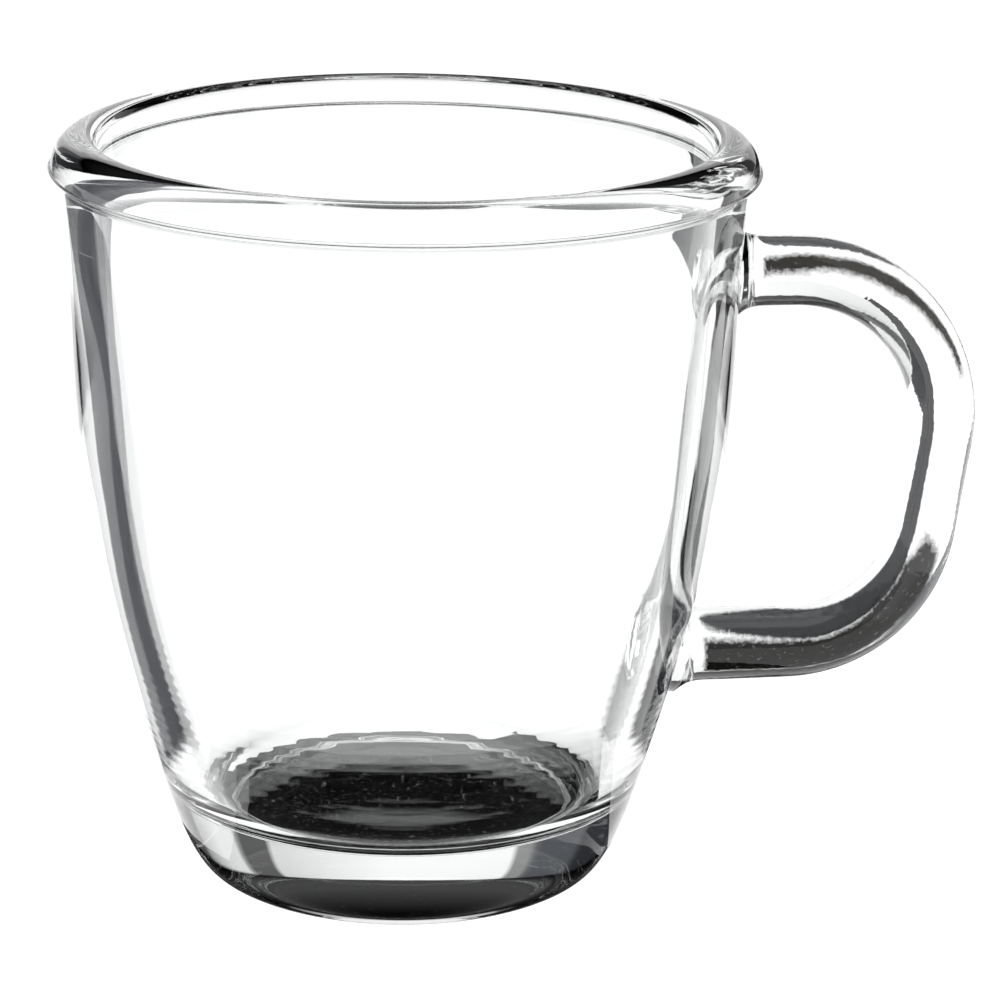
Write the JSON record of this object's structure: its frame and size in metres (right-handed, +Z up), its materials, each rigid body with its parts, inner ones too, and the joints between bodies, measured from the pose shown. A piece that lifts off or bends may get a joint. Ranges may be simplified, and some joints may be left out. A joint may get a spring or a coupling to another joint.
{
  "type": "coffee mug",
  "caption": "Clear pressed-glass coffee mug: tapered cup with a thick solid base and rounded lip, and a round glass bar handle bent to a D with flared feet.",
  "frame": {"origin": "centre of the foot's flat bearing face, on the cup's axis", "axes": "+Z up along the cup's axis, +X from the axis towards the handle"},
  "size_m": [0.1198, 0.0898, 0.097],
  "materials": {
    "pressed_glass": "fire-polished clear",
    "drawn_glass": "fire-polished clear, slightly uneven"
  },
  "bodies": {
    "root": {"cup_body": "pressed_glass", "handle": "drawn_glass"}
  },
  "joints": []
}
